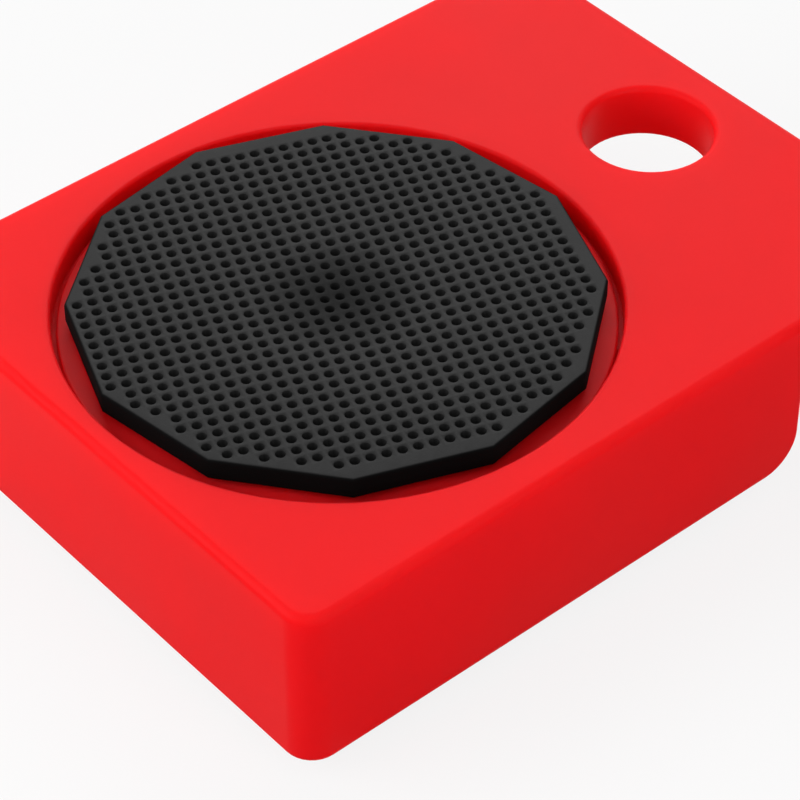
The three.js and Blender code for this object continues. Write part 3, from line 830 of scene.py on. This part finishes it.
def weigh_creases(mesh, chosen):
    """Gives a bevel weight to the creased edges for which chosen(middles of edges) is true."""
    work = bmesh.new()
    work.from_mesh(mesh)
    bend = np.array([edge.calc_face_angle(0.0) for edge in work.edges])
    work.free()
    ends = np.empty(2 * len(mesh.edges), np.int32)
    mesh.edges.foreach_get("vertices", ends)
    middle = mesh_points(mesh)[ends.reshape(-1, 2)].mean(axis=1)
    weight = (bend > math.radians(CREASE_DEGREES)) & chosen(middle)
    attribute = mesh.attributes.new("bevel_weight_edge", "FLOAT", "EDGE")
    attribute.data.foreach_set("value", weight.astype(np.float32))
    print("creases with a mould radius:", int(weight.sum()), "of", len(weight))


# %% Housing
HOUSING_EDGE = 0.5 * MM
HOUSING_CORNER = 3.7 * MM
OUTLINE_SLACK = 0.05 * MM


def on_outside(middle):
    """True for points on the housing's outer wall: within its corners' radius of the plan outline."""
    half = np.array([cad_high.x, cad_high.y])
    inward = half - np.abs(middle[:, :2])
    bite = np.clip(HOUSING_CORNER - inward, 0, None)
    return np.abs(np.hypot(*bite.T) - HOUSING_CORNER) < OUTLINE_SLACK


housing_mesh = joined_copy("housing")
weigh_creases(housing_mesh, on_outside)
housing = finish_piece("housing_moulding", housing_mesh, "base", "red_plastic", "housing")
keep_creases(housing, CREASE_DEGREES)
soften(housing, HOUSING_EDGE)

# %% Base cover
COVER_EDGE = 0.3 * MM


def everywhere(middle):
    """True for every point."""
    return np.ones(len(middle), bool)


cover_mesh = joined_copy("base_cover")
weigh_creases(cover_mesh, everywhere)
cover = finish_piece("cover_moulding", cover_mesh, "base", "red_plastic", "base_cover")
keep_creases(cover, CREASE_DEGREES)
soften(cover, COVER_EDGE)

# %% [markdown]
# ## Wheels
# A moulded wheel has a dished web between rim and hub on both sides. A cylinder with inset faces would
# come close, but its fillets would have to be bevelled by hand. A closed profile with rounded corners,
# turned about the axle, has them all, and one half of it mirrored gives both sides.

# %% Wheels
WHEEL_COLUMNS = 96
WHEEL_PLACES = ("heel_left", "heel_right", "nose_left", "nose_right")
WHEEL_RIM = 1.8
WHEEL_DISH = 1.6
WHEEL_HUB = 4.1
WHEEL_BORE = 2.3
HUB_PROUD = 0.7
BORE_EDGE = 0.2
RIM_EDGE = 0.3
WEB_FILLET = 0.4
TREAD_EDGE = 1.2


def mirrored(side):
    """The corners of a half section on the other side of its middle, in the order that goes on."""
    return [(across, -along, rounding) for across, along, rounding in reversed(side)]


def wheel_profile(radius, hub_half):
    """One half of the section, from the bore out to the tread, and its mirror image."""
    half = hub_half - HUB_PROUD
    side = [
        (WHEEL_BORE, hub_half, BORE_EDGE),
        (WHEEL_HUB, hub_half, RIM_EDGE),
        (WHEEL_HUB, half - WHEEL_DISH, WEB_FILLET),
        (radius - WHEEL_RIM, half - WHEEL_DISH, WEB_FILLET),
        (radius - WHEEL_RIM, half, RIM_EDGE),
        (radius, half, TREAD_EDGE),
    ]
    return rounded([*side, *mirrored(side)], closed=True)


for place in WHEEL_PLACES:
    node = f"wheel_{place}"
    low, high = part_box(node)
    profile = wheel_profile((high.z - low.z) / 2 / MM, (high.y - low.y) / 2 / MM)
    wheel = turned(profile, (low + high) / 2, WHEEL_COLUMNS, axis="y")
    new_piece(f"{node}_turned", *wheel, body_of_node(node), "wheel_nylon", node)

# %% [markdown]
# ## Axle pins
# A pin is a length of steel rod with chamfered ends, so that it drops into its seat. A cylinder with a
# Bevel modifier would serve too. Here it takes its length and thickness from the frame and is turned
# like the wheels.

# %% Axle pins
PIN_COLUMNS = 48
PIN_CHAMFER = 0.4
PIN_ROUNDING = 0.15

for place in WHEEL_PLACES:
    node = f"axle_pin_{place}"
    low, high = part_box(node)
    radius = (high.z - low.z) / 2 / MM
    half = (high.y - low.y) / 2 / MM
    end = [
        (0, half, 0),
        (radius - PIN_CHAMFER, half, PIN_ROUNDING),
        (radius, half - PIN_CHAMFER, PIN_ROUNDING),
    ]
    pin = turned(rounded([*end, *mirrored(end)]), (low + high) / 2, PIN_COLUMNS, axis="y")
    keep_creases(new_piece(f"{node}_turned", *pin, "base", "zinc_steel", node), CREASE_DEGREES)

# %% [markdown]
# ## Screws
# A screw is a turned profile with two changes: a cross is pressed into its head and a thread winds along
# its shank. A Screw modifier could wind the thread and a Boolean could cut the cross, but they would meet
# badly at the head. As sums on one grid, head, shank and tip stay one closed surface.

# %% Screw profile
SCREW_COLUMNS = 96
FACE_ROWS = 40
HEAD_EDGE = 0.6
HEAD_EDGE_SHARE = 0.35
NECK = 0.3
NECK_GAP = 0.05
THREAD_STEPS = 8


def screw_profile(head, shank, pitch):
    """Points (radius, height) in mm from the middle of the head's face, round its edge and along the shank
    to the tip. head is (radius, height), shank is (radius, length) and each pitch has a few rows."""
    head_radius, head_height = head
    shank_radius, length = shank
    edge = min(HEAD_EDGE_SHARE * head_height, HEAD_EDGE)
    face = np.linspace(0, head_radius - edge, FACE_ROWS)[:, None] * np.array([1.0, 0.0])
    skirt = rounded([
        (0, 0, 0),
        (head_radius, 0, edge),
        (head_radius, head_height, SHARP_EDGE),
        (shank_radius, head_height, SHARP_EDGE),
        (shank_radius, head_height + NECK, 0),
    ])[2:] / MM
    rows = int((length - shank_radius - NECK) / pitch * THREAD_STEPS)
    thread_low = head_height + NECK + NECK_GAP
    heights = np.linspace(thread_low, head_height + length - shank_radius, rows)
    thread = np.stack([np.full_like(heights, shank_radius), heights], -1)
    tip = np.array([(0.0, head_height + length)])
    return np.concatenate([face, skirt, thread, tip])


# %% Driver cross
CROSS_LENGTH = 0.62
CROSS_WIDTH = 0.19
CROSS_DEPTH = 0.6
CROSS_WALL = (0.8, 1.15)
CROSS_FADE = 0.25


def smooth_step(value, low, high):
    """0 below low, 1 above high, and an even S-shaped rise between."""
    share = np.clip((value - low) / (high - low), 0, 1)
    return share * share * (3 - 2 * share)


def cross_bar(lengthways, sideways, radius):
    """One bar of the cross: 1 between its steep walls, and less towards its ends."""
    wall_low, wall_high = CROSS_WIDTH * radius * np.array(CROSS_WALL)
    reach = CROSS_LENGTH * radius
    between = 1 - smooth_step(np.abs(sideways), wall_low, wall_high)
    fade = 1 - smooth_step(np.abs(lengthways), CROSS_FADE * reach, reach)
    return between * fade


def cross_recess(across, along, radius):
    """Depth of a driver cross, from 0 to 1: the deeper of two bars at right angles."""
    return np.maximum(cross_bar(across, along, radius), cross_bar(along, across, radius))


# %% Screw surface
THREAD_HALF = 0.3
THREAD_HEIGHT = 0.13
THREAD_SINK = 0.4


def screw_surface(centre, head, shank, pitch):
    """A screw that points up: its profile goes round the axis, the cross lifts the face into the head, and
    the thread is a ridge on the shank that climbs by one pitch in each turn."""
    head_radius, head_height = head
    profile = screw_profile(head, shank, pitch)
    angle = np.linspace(0, 2 * np.pi, SCREW_COLUMNS, endpoint=False)
    radius = np.repeat(profile[:, :1], SCREW_COLUMNS, axis=1)
    height = np.repeat(profile[:, 1:], SCREW_COLUMNS, axis=1)
    on_face = np.arange(len(profile))[:, None] < FACE_ROWS
    cross = cross_recess(radius * np.cos(angle), radius * np.sin(angle), head_radius)
    height = height + on_face * cross * CROSS_DEPTH * head_height
    neck_end = head_height + NECK
    on_thread = (profile[:, 1:] > neck_end) & (profile[:, :1] > 0)
    wave = np.mod(height / pitch - angle / (2 * np.pi), 1.0)
    crest = np.clip(1 - np.abs(wave - 0.5) / THREAD_HALF, 0, 1)
    ends = smooth_step(profile[:, 1:], neck_end, neck_end + pitch)
    radius = radius + on_thread * (crest * ends - THREAD_SINK) * THREAD_HEIGHT * shank[0]
    points = np.stack([radius * np.cos(angle), radius * np.sin(angle), height], -1) * MM
    return points.reshape(-1, 3) + np.array(centre), grid_faces(len(profile), SCREW_COLUMNS)


# %% Screws in their places
PIVOT_SCREW = {"head_height": 2.6, "shank_radius": 2.0, "pitch": 0.7}
COVER_SCREW = {"head_height": 1.2, "shank_radius": 1.4, "pitch": 1.1}


def add_screw(node, head_height, shank_radius, pitch):
    """Replaces one plain CAD screw by a cut one of the same head, shank and place."""
    low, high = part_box(node)
    centre = ((low.x + high.x) / 2, (low.y + high.y) / 2, low.z)
    head = ((high.x - low.x) / 2 / MM, head_height)
    shank = (shank_radius, (high.z - low.z) / MM - head_height)
    surface = screw_surface(centre, head, shank, pitch)
    piece = new_piece(f"{node}_cut", *surface, body_of_node(node), "zinc_steel", node)
    keep_creases(piece, CREASE_DEGREES)


add_screw("pivot_screw", **PIVOT_SCREW)
for place in ("heel", "nose", "left", "right"):
    add_screw(f"cover_screw_{place}", **COVER_SCREW)

# %% [markdown]
# ## Washer
# The washer under the hub carries no load, it only keeps the disc from lifting out. A real one is stamped,
# which rounds its edges. A closed profile with small roundings, turned about the pivot, gives that.

# %% Washer
WASHER_COLUMNS = 96
WASHER_BORE = 2.3
WASHER_EDGE = 0.3
WASHER_BORE_EDGE = 0.2
washer_low, washer_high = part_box("pivot_washer")
washer_radius = (washer_high.x - washer_low.x) / 2 / MM
washer_profile = rounded([
    (WASHER_BORE, washer_low.z / MM, WASHER_BORE_EDGE),
    (washer_radius, washer_low.z / MM, WASHER_EDGE),
    (washer_radius, washer_high.z / MM, WASHER_EDGE),
    (WASHER_BORE, washer_high.z / MM, WASHER_BORE_EDGE),
], closed=True)
ring = turned(washer_profile, (*PIVOT, 0), WASHER_COLUMNS)
washer = new_piece("washer_stamped", *ring, "turntable", "zinc_steel", "pivot_washer")
keep_creases(washer, CREASE_DEGREES)

# %% [markdown]
# ## Bond layer in place
# The glue film is flat and hidden between disc and pad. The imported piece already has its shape, so it stays
# as it is and only gets its finish.

# %% Bond layer
bond = frame["nodes"]["pad_adhesive"]
bond.data.materials.clear()
bond.data.materials.append(FINISHES["pad_glue"])
bond_low, bond_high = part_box("pad_adhesive")
print("bond layer thickness in mm:", round((bond_high.z - bond_low.z) / MM, 2))
